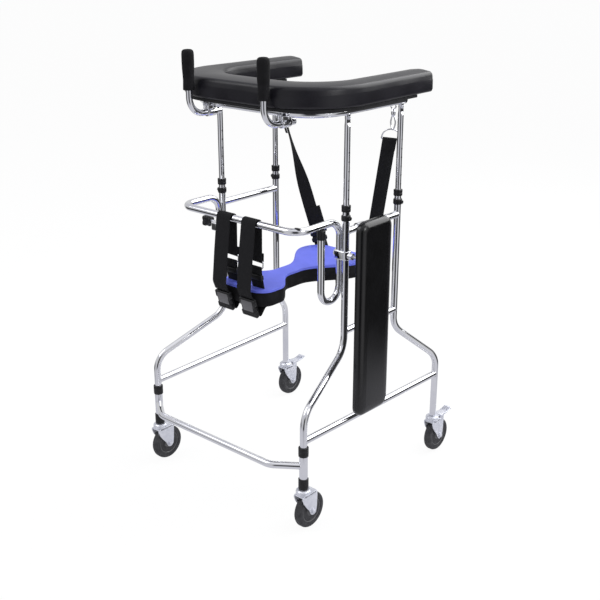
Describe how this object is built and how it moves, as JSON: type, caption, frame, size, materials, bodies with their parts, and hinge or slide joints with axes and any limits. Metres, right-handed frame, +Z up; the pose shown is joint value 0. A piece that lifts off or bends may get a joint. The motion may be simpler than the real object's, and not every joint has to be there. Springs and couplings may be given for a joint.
{
  "type": "wheeled walker with forearm ring",
  "caption": "Chromed wheeled walking frame with a U-shaped forearm pad, upright handles, a sling seat on buckled straps and a hinged padded board.",
  "frame": {"origin": "centre of the bounding box, on the floor under the wheels", "axes": "+Z up; the user faces -Y, and the frame opens towards +Y; +X is the side that carries the hinged board"},
  "size_m": [0.644, 0.7192, 1.206],
  "materials": {
    "chrome": "mirror chrome plate",
    "zinc": "bright zinc plate",
    "black_plastic": "moulded, fine grain",
    "wheel_rubber": "dark grey, satin",
    "pad_vinyl": "black vinyl with a soft sheen",
    "board_vinyl": "black vinyl, smooth",
    "base_board": "black painted board",
    "grip_foam": "matt moulded foam",
    "seat_foam": "closed-cell foam, matt",
    "seat_blue": "blue foam skin, matt",
    "webbing": "woven black webbing",
    "buckle": "moulded dark grey plastic"
  },
  "bodies": {
    "frame": {"crossbar": "chrome", "guard_bar": "chrome", "seat_base": "seat_foam", "seat_cushion": "seat_blue", "leg_front_right": "chrome", "leg_front_left": "chrome", "leg_rear_right": "chrome", "leg_rear_left": "chrome", "top_bar_right": "chrome", "mid_bar_right": "chrome", "low_bar_right": "chrome", "front_strap_right": "webbing", "buckle_right": "buckle", "steel_link_right": "chrome", "rear_strap_right": "webbing", "top_bar_left": "chrome", "mid_bar_left": "chrome", "low_bar_left": "chrome", "front_strap_left": "webbing", "buckle_left": "buckle", "steel_link_left": "chrome", "rear_strap_left": "webbing"},
    "upper": {"arm_ring": "chrome", "pad_base": "base_board", "forearm_pad": "pad_vinyl", "height_post_front_right": "chrome", "height_post_front_left": "chrome", "height_post_rear_right": "chrome", "height_post_rear_left": "chrome", "handle_clamp_right": "chrome", "snap_hook_right": "chrome", "handle_clamp_left": "chrome", "snap_hook_left": "chrome"},
    "caster_front_right": {"caster_fork_front_right": "zinc", "axle_front_right": "zinc"},
    "wheel_body_front_right": {"wheel_front_right": "wheel_rubber"},
    "clip_front_right": {"spring_clip_front_right": "black_plastic"},
    "caster_front_left": {"caster_fork_front_left": "zinc", "axle_front_left": "zinc"},
    "wheel_body_front_left": {"wheel_front_left": "wheel_rubber"},
    "clip_front_left": {"spring_clip_front_left": "black_plastic"},
    "caster_rear_right": {"caster_fork_rear_right": "zinc", "axle_rear_right": "zinc"},
    "wheel_body_rear_right": {"wheel_rear_right": "wheel_rubber"},
    "pedal_rear_right": {"brake_pedal_rear_right": "zinc"},
    "clip_rear_right": {"spring_clip_rear_right": "black_plastic"},
    "caster_rear_left": {"caster_fork_rear_left": "zinc", "axle_rear_left": "zinc"},
    "wheel_body_rear_left": {"wheel_rear_left": "wheel_rubber"},
    "pedal_rear_left": {"brake_pedal_rear_left": "zinc"},
    "clip_rear_left": {"spring_clip_rear_left": "black_plastic"},
    "knob_right": {"star_knob_right": "black_plastic"},
    "handle_right": {"handle_rod_right": "chrome", "grip_right": "grip_foam"},
    "knob_left": {"star_knob_left": "black_plastic"},
    "handle_left": {"handle_rod_left": "chrome", "grip_left": "grip_foam"},
    "board": {"seat_board": "board_vinyl", "board_hook": "chrome"}
  },
  "joints": [
    {"name": "height_adjust", "type": "slide", "parent": "frame", "child": "upper", "axis": [0, 0, 1], "range_m": [-0.144, 0.048], "deforming": ["rear_strap_right", "rear_strap_left"]},
    {"name": "swivel_front_right", "type": "hinge", "parent": "frame", "child": "caster_front_right", "pos_m": [0.277, -0.29825, 0.106], "axis": [0, 0, 1], "continuous": true},
    {"name": "wheel_spin_front_right", "type": "hinge", "parent": "caster_front_right", "child": "wheel_body_front_right", "pos_m": [0.277, -0.27625, 0.05], "axis": [1, 0, 0], "continuous": true},
    {"name": "clip_pull_front_right", "type": "slide", "parent": "frame", "child": "clip_front_right", "axis": [1, 0, 0], "range_m": [0, 0.012], "stiffness_N_per_m": 150},
    {"name": "swivel_front_left", "type": "hinge", "parent": "frame", "child": "caster_front_left", "pos_m": [-0.285, -0.29825, 0.106], "axis": [0, 0, 1], "continuous": true},
    {"name": "wheel_spin_front_left", "type": "hinge", "parent": "caster_front_left", "child": "wheel_body_front_left", "pos_m": [-0.285, -0.27625, 0.05], "axis": [1, 0, 0], "continuous": true},
    {"name": "clip_pull_front_left", "type": "slide", "parent": "frame", "child": "clip_front_left", "axis": [-1, 0, 0], "range_m": [0, 0.012], "stiffness_N_per_m": 150},
    {"name": "swivel_rear_right", "type": "hinge", "parent": "frame", "child": "caster_rear_right", "pos_m": [0.293, 0.27375, 0.106], "axis": [0, 0, 1], "continuous": true},
    {"name": "wheel_spin_rear_right", "type": "hinge", "parent": "caster_rear_right", "child": "wheel_body_rear_right", "pos_m": [0.293, 0.29575, 0.05], "axis": [1, 0, 0], "continuous": true},
    {"name": "brake_rear_right", "type": "hinge", "parent": "caster_rear_right", "child": "pedal_rear_right", "pos_m": [0.293, 0.30475, 0.111], "axis": [-1, 0, 0], "range_deg": [0, 12]},
    {"name": "clip_pull_rear_right", "type": "slide", "parent": "frame", "child": "clip_rear_right", "axis": [1, 0, 0], "range_m": [0, 0.012], "stiffness_N_per_m": 150},
    {"name": "swivel_rear_left", "type": "hinge", "parent": "frame", "child": "caster_rear_left", "pos_m": [-0.301, 0.27375, 0.106], "axis": [0, 0, 1], "continuous": true},
    {"name": "wheel_spin_rear_left", "type": "hinge", "parent": "caster_rear_left", "child": "wheel_body_rear_left", "pos_m": [-0.301, 0.29575, 0.05], "axis": [1, 0, 0], "continuous": true},
    {"name": "brake_rear_left", "type": "hinge", "parent": "caster_rear_left", "child": "pedal_rear_left", "pos_m": [-0.301, 0.30475, 0.111], "axis": [-1, 0, 0], "range_deg": [0, 12]},
    {"name": "clip_pull_rear_left", "type": "slide", "parent": "frame", "child": "clip_rear_left", "axis": [-1, 0, 0], "range_m": [0, 0.012], "stiffness_N_per_m": 150},
    {"name": "knob_turn_right", "type": "hinge", "parent": "frame", "child": "knob_right", "pos_m": [0.276, -0.07025, 0.692], "axis": [1, 0, 0], "continuous": true},
    {"name": "handle_slide_right", "type": "slide", "parent": "upper", "child": "handle_right", "axis": [0, -1, 0], "range_m": [0, 0.03]},
    {"name": "knob_turn_left", "type": "hinge", "parent": "frame", "child": "knob_left", "pos_m": [-0.284, -0.07025, 0.692], "axis": [1, 0, 0], "continuous": true},
    {"name": "handle_slide_left", "type": "slide", "parent": "upper", "child": "handle_left", "axis": [0, -1, 0], "range_m": [0, 0.03]},
    {"name": "board_swing", "type": "hinge", "parent": "frame", "child": "board", "pos_m": [0.222, -0.01025, 0.756], "axis": [0, -1, 0], "range_deg": [0, 40]}
  ]
}
